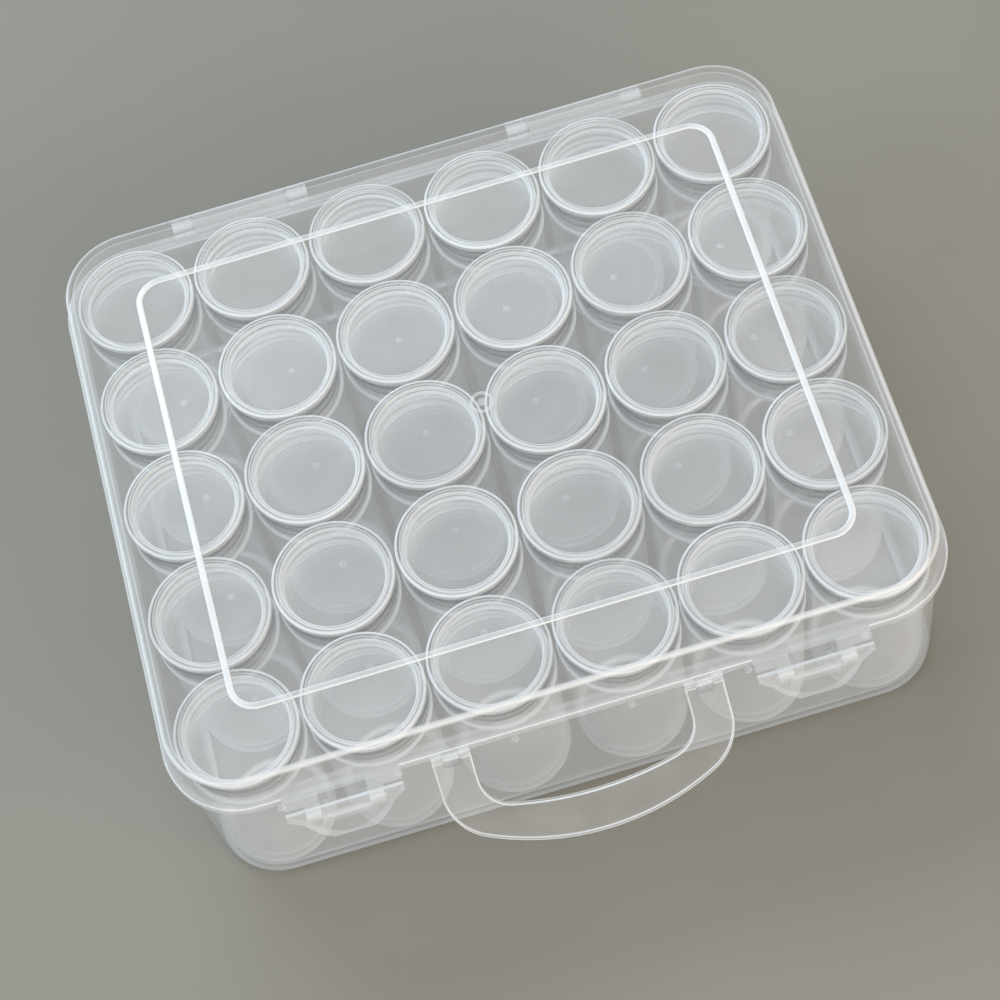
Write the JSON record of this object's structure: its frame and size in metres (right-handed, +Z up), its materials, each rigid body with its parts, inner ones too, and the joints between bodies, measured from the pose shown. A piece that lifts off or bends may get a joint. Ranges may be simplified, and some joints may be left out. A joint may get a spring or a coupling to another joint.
{
  "type": "diamond painting storage box",
  "caption": "Clear flat storage case with a hinged lid, thumb latches and a carry handle, filled with a grid of screw-cap jars.",
  "frame": {"origin": "middle of the tray's flat underside, on the table", "axes": "+X to the right along the longer side, -Y the front with the latches and the handle, +Z up"},
  "size_m": [0.1684, 0.1648, 0.0571],
  "materials": {
    "clear_shell": "clear slightly milky moulded polypropylene, gloss",
    "clear_fitting": "clear slightly milky moulded polypropylene, gloss",
    "clear_jar": "clear moulded polystyrene, gloss",
    "clear_cap": "clear slightly milky moulded polypropylene, gloss"
  },
  "bodies": {
    "base": {"base_tray": "clear_shell"},
    "lid": {"lid": "clear_shell"},
    "latch_left": {"latch_left": "clear_fitting"},
    "latch_right": {"latch_right": "clear_fitting"},
    "carry_handle": {"carry_handle": "clear_fitting"},
    "back_row": {"jars_back_row": "clear_jar", "caps_back_row": "clear_cap"},
    "jar_row1_col1": {"jar_row1_col1": "clear_jar"},
    "cap_row1_col1": {"cap_row1_col1": "clear_cap"},
    "jar_row1_col2": {"jar_row1_col2": "clear_jar"},
    "cap_row1_col2": {"cap_row1_col2": "clear_cap"},
    "jar_row1_col3": {"jar_row1_col3": "clear_jar"},
    "cap_row1_col3": {"cap_row1_col3": "clear_cap"},
    "jar_row1_col4": {"jar_row1_col4": "clear_jar"},
    "cap_row1_col4": {"cap_row1_col4": "clear_cap"},
    "jar_row1_col5": {"jar_row1_col5": "clear_jar"},
    "cap_row1_col5": {"cap_row1_col5": "clear_cap"},
    "jar_row1_col6": {"jar_row1_col6": "clear_jar"},
    "cap_row1_col6": {"cap_row1_col6": "clear_cap"},
    "jar_row2_col1": {"jar_row2_col1": "clear_jar"},
    "cap_row2_col1": {"cap_row2_col1": "clear_cap"},
    "jar_row2_col2": {"jar_row2_col2": "clear_jar"},
    "cap_row2_col2": {"cap_row2_col2": "clear_cap"},
    "jar_row2_col3": {"jar_row2_col3": "clear_jar"},
    "cap_row2_col3": {"cap_row2_col3": "clear_cap"},
    "jar_row2_col4": {"jar_row2_col4": "clear_jar"},
    "cap_row2_col4": {"cap_row2_col4": "clear_cap"},
    "jar_row2_col5": {"jar_row2_col5": "clear_jar"},
    "cap_row2_col5": {"cap_row2_col5": "clear_cap"},
    "jar_row2_col6": {"jar_row2_col6": "clear_jar"},
    "cap_row2_col6": {"cap_row2_col6": "clear_cap"},
    "jar_row3_col1": {"jar_row3_col1": "clear_jar"},
    "cap_row3_col1": {"cap_row3_col1": "clear_cap"},
    "jar_row3_col2": {"jar_row3_col2": "clear_jar"},
    "cap_row3_col2": {"cap_row3_col2": "clear_cap"},
    "jar_row3_col3": {"jar_row3_col3": "clear_jar"},
    "cap_row3_col3": {"cap_row3_col3": "clear_cap"},
    "jar_row3_col4": {"jar_row3_col4": "clear_jar"},
    "cap_row3_col4": {"cap_row3_col4": "clear_cap"},
    "jar_row3_col5": {"jar_row3_col5": "clear_jar"},
    "cap_row3_col5": {"cap_row3_col5": "clear_cap"},
    "jar_row3_col6": {"jar_row3_col6": "clear_jar"},
    "cap_row3_col6": {"cap_row3_col6": "clear_cap"},
    "jar_row4_col1": {"jar_row4_col1": "clear_jar"},
    "cap_row4_col1": {"cap_row4_col1": "clear_cap"},
    "jar_row4_col2": {"jar_row4_col2": "clear_jar"},
    "cap_row4_col2": {"cap_row4_col2": "clear_cap"},
    "jar_row4_col3": {"jar_row4_col3": "clear_jar"},
    "cap_row4_col3": {"cap_row4_col3": "clear_cap"},
    "jar_row4_col4": {"jar_row4_col4": "clear_jar"},
    "cap_row4_col4": {"cap_row4_col4": "clear_cap"},
    "jar_row4_col5": {"jar_row4_col5": "clear_jar"},
    "cap_row4_col5": {"cap_row4_col5": "clear_cap"},
    "jar_row4_col6": {"jar_row4_col6": "clear_jar"},
    "cap_row4_col6": {"cap_row4_col6": "clear_cap"}
  },
  "joints": [
    {"name": "lid_hinge", "type": "hinge", "parent": "base", "child": "lid", "pos_m": [0, 0.07345, 0.0458], "axis": [-1, 0, 0], "range_deg": [0, 170]},
    {"name": "latch_left_hinge", "type": "hinge", "parent": "lid", "child": "latch_left", "pos_m": [-0.05, -0.07435, 0.0451], "axis": [-1, 0, 0], "range_deg": [0, 100]},
    {"name": "latch_right_hinge", "type": "hinge", "parent": "lid", "child": "latch_right", "pos_m": [0.05, -0.07435, 0.0451], "axis": [-1, 0, 0], "range_deg": [0, 100]},
    {"name": "handle_swing", "type": "hinge", "parent": "base", "child": "carry_handle", "pos_m": [0, -0.0703, 0.04295], "axis": [-1, 0, 0], "range_deg": [-48, 45]},
    {"name": "back_row_lift", "type": "slide", "parent": "base", "child": "back_row", "axis": [0, 0, 1], "range_m": [0, 0.004]},
    {"name": "jar_row1_col1_lift", "type": "slide", "parent": "base", "child": "jar_row1_col1", "axis": [0, 0, 1], "range_m": [0, 0.004]},
    {"name": "cap_row1_col1_unscrew", "type": "hinge", "parent": "jar_row1_col1", "child": "cap_row1_col1", "pos_m": [-0.0675, -0.054, 0.0465], "axis": [0, 0, 1], "range_deg": [0, 360]},
    {"name": "jar_row1_col2_lift", "type": "slide", "parent": "base", "child": "jar_row1_col2", "axis": [0, 0, 1], "range_m": [0, 0.004]},
    {"name": "cap_row1_col2_unscrew", "type": "hinge", "parent": "jar_row1_col2", "child": "cap_row1_col2", "pos_m": [-0.0405, -0.054, 0.0465], "axis": [0, 0, 1], "range_deg": [0, 360]},
    {"name": "jar_row1_col3_lift", "type": "slide", "parent": "base", "child": "jar_row1_col3", "axis": [0, 0, 1], "range_m": [0, 0.004]},
    {"name": "cap_row1_col3_unscrew", "type": "hinge", "parent": "jar_row1_col3", "child": "cap_row1_col3", "pos_m": [-0.0135, -0.054, 0.0465], "axis": [0, 0, 1], "range_deg": [0, 360]},
    {"name": "jar_row1_col4_lift", "type": "slide", "parent": "base", "child": "jar_row1_col4", "axis": [0, 0, 1], "range_m": [0, 0.004]},
    {"name": "cap_row1_col4_unscrew", "type": "hinge", "parent": "jar_row1_col4", "child": "cap_row1_col4", "pos_m": [0.0135, -0.054, 0.0465], "axis": [0, 0, 1], "range_deg": [0, 360]},
    {"name": "jar_row1_col5_lift", "type": "slide", "parent": "base", "child": "jar_row1_col5", "axis": [0, 0, 1], "range_m": [0, 0.004]},
    {"name": "cap_row1_col5_unscrew", "type": "hinge", "parent": "jar_row1_col5", "child": "cap_row1_col5", "pos_m": [0.0405, -0.054, 0.0465], "axis": [0, 0, 1], "range_deg": [0, 360]},
    {"name": "jar_row1_col6_lift", "type": "slide", "parent": "base", "child": "jar_row1_col6", "axis": [0, 0, 1], "range_m": [0, 0.004]},
    {"name": "cap_row1_col6_unscrew", "type": "hinge", "parent": "jar_row1_col6", "child": "cap_row1_col6", "pos_m": [0.0675, -0.054, 0.0465], "axis": [0, 0, 1], "range_deg": [0, 360]},
    {"name": "jar_row2_col1_lift", "type": "slide", "parent": "base", "child": "jar_row2_col1", "axis": [0, 0, 1], "range_m": [0, 0.004]},
    {"name": "cap_row2_col1_unscrew", "type": "hinge", "parent": "jar_row2_col1", "child": "cap_row2_col1", "pos_m": [-0.0675, -0.027, 0.0465], "axis": [0, 0, 1], "range_deg": [0, 360]},
    {"name": "jar_row2_col2_lift", "type": "slide", "parent": "base", "child": "jar_row2_col2", "axis": [0, 0, 1], "range_m": [0, 0.004]},
    {"name": "cap_row2_col2_unscrew", "type": "hinge", "parent": "jar_row2_col2", "child": "cap_row2_col2", "pos_m": [-0.0405, -0.027, 0.0465], "axis": [0, 0, 1], "range_deg": [0, 360]},
    {"name": "jar_row2_col3_lift", "type": "slide", "parent": "base", "child": "jar_row2_col3", "axis": [0, 0, 1], "range_m": [0, 0.004]},
    {"name": "cap_row2_col3_unscrew", "type": "hinge", "parent": "jar_row2_col3", "child": "cap_row2_col3", "pos_m": [-0.0135, -0.027, 0.0465], "axis": [0, 0, 1], "range_deg": [0, 360]},
    {"name": "jar_row2_col4_lift", "type": "slide", "parent": "base", "child": "jar_row2_col4", "axis": [0, 0, 1], "range_m": [0, 0.004]},
    {"name": "cap_row2_col4_unscrew", "type": "hinge", "parent": "jar_row2_col4", "child": "cap_row2_col4", "pos_m": [0.0135, -0.027, 0.0465], "axis": [0, 0, 1], "range_deg": [0, 360]},
    {"name": "jar_row2_col5_lift", "type": "slide", "parent": "base", "child": "jar_row2_col5", "axis": [0, 0, 1], "range_m": [0, 0.004]},
    {"name": "cap_row2_col5_unscrew", "type": "hinge", "parent": "jar_row2_col5", "child": "cap_row2_col5", "pos_m": [0.0405, -0.027, 0.0465], "axis": [0, 0, 1], "range_deg": [0, 360]},
    {"name": "jar_row2_col6_lift", "type": "slide", "parent": "base", "child": "jar_row2_col6", "axis": [0, 0, 1], "range_m": [0, 0.004]},
    {"name": "cap_row2_col6_unscrew", "type": "hinge", "parent": "jar_row2_col6", "child": "cap_row2_col6", "pos_m": [0.0675, -0.027, 0.0465], "axis": [0, 0, 1], "range_deg": [0, 360]},
    {"name": "jar_row3_col1_lift", "type": "slide", "parent": "base", "child": "jar_row3_col1", "axis": [0, 0, 1], "range_m": [0, 0.004]},
    {"name": "cap_row3_col1_unscrew", "type": "hinge", "parent": "jar_row3_col1", "child": "cap_row3_col1", "pos_m": [-0.0675, 0, 0.0465], "axis": [0, 0, 1], "range_deg": [0, 360]},
    {"name": "jar_row3_col2_lift", "type": "slide", "parent": "base", "child": "jar_row3_col2", "axis": [0, 0, 1], "range_m": [0, 0.004]},
    {"name": "cap_row3_col2_unscrew", "type": "hinge", "parent": "jar_row3_col2", "child": "cap_row3_col2", "pos_m": [-0.0405, 0, 0.0465], "axis": [0, 0, 1], "range_deg": [0, 360]},
    {"name": "jar_row3_col3_lift", "type": "slide", "parent": "base", "child": "jar_row3_col3", "axis": [0, 0, 1], "range_m": [0, 0.004]},
    {"name": "cap_row3_col3_unscrew", "type": "hinge", "parent": "jar_row3_col3", "child": "cap_row3_col3", "pos_m": [-0.0135, 0, 0.0465], "axis": [0, 0, 1], "range_deg": [0, 360]},
    {"name": "jar_row3_col4_lift", "type": "slide", "parent": "base", "child": "jar_row3_col4", "axis": [0, 0, 1], "range_m": [0, 0.004]},
    {"name": "cap_row3_col4_unscrew", "type": "hinge", "parent": "jar_row3_col4", "child": "cap_row3_col4", "pos_m": [0.0135, 0, 0.0465], "axis": [0, 0, 1], "range_deg": [0, 360]},
    {"name": "jar_row3_col5_lift", "type": "slide", "parent": "base", "child": "jar_row3_col5", "axis": [0, 0, 1], "range_m": [0, 0.004]},
    {"name": "cap_row3_col5_unscrew", "type": "hinge", "parent": "jar_row3_col5", "child": "cap_row3_col5", "pos_m": [0.0405, 0, 0.0465], "axis": [0, 0, 1], "range_deg": [0, 360]},
    {"name": "jar_row3_col6_lift", "type": "slide", "parent": "base", "child": "jar_row3_col6", "axis": [0, 0, 1], "range_m": [0, 0.004]},
    {"name": "cap_row3_col6_unscrew", "type": "hinge", "parent": "jar_row3_col6", "child": "cap_row3_col6", "pos_m": [0.0675, 0, 0.0465], "axis": [0, 0, 1], "range_deg": [0, 360]},
    {"name": "jar_row4_col1_lift", "type": "slide", "parent": "base", "child": "jar_row4_col1", "axis": [0, 0, 1], "range_m": [0, 0.004]},
    {"name": "cap_row4_col1_unscrew", "type": "hinge", "parent": "jar_row4_col1", "child": "cap_row4_col1", "pos_m": [-0.0675, 0.027, 0.0465], "axis": [0, 0, 1], "range_deg": [0, 360]},
    {"name": "jar_row4_col2_lift", "type": "slide", "parent": "base", "child": "jar_row4_col2", "axis": [0, 0, 1], "range_m": [0, 0.004]},
    {"name": "cap_row4_col2_unscrew", "type": "hinge", "parent": "jar_row4_col2", "child": "cap_row4_col2", "pos_m": [-0.0405, 0.027, 0.0465], "axis": [0, 0, 1], "range_deg": [0, 360]},
    {"name": "jar_row4_col3_lift", "type": "slide", "parent": "base", "child": "jar_row4_col3", "axis": [0, 0, 1], "range_m": [0, 0.004]},
    {"name": "cap_row4_col3_unscrew", "type": "hinge", "parent": "jar_row4_col3", "child": "cap_row4_col3", "pos_m": [-0.0135, 0.027, 0.0465], "axis": [0, 0, 1], "range_deg": [0, 360]},
    {"name": "jar_row4_col4_lift", "type": "slide", "parent": "base", "child": "jar_row4_col4", "axis": [0, 0, 1], "range_m": [0, 0.004]},
    {"name": "cap_row4_col4_unscrew", "type": "hinge", "parent": "jar_row4_col4", "child": "cap_row4_col4", "pos_m": [0.0135, 0.027, 0.0465], "axis": [0, 0, 1], "range_deg": [0, 360]},
    {"name": "jar_row4_col5_lift", "type": "slide", "parent": "base", "child": "jar_row4_col5", "axis": [0, 0, 1], "range_m": [0, 0.004]},
    {"name": "cap_row4_col5_unscrew", "type": "hinge", "parent": "jar_row4_col5", "child": "cap_row4_col5", "pos_m": [0.0405, 0.027, 0.0465], "axis": [0, 0, 1], "range_deg": [0, 360]},
    {"name": "jar_row4_col6_lift", "type": "slide", "parent": "base", "child": "jar_row4_col6", "axis": [0, 0, 1], "range_m": [0, 0.004]},
    {"name": "cap_row4_col6_unscrew", "type": "hinge", "parent": "jar_row4_col6", "child": "cap_row4_col6", "pos_m": [0.0675, 0.027, 0.0465], "axis": [0, 0, 1], "range_deg": [0, 360]}
  ]
}
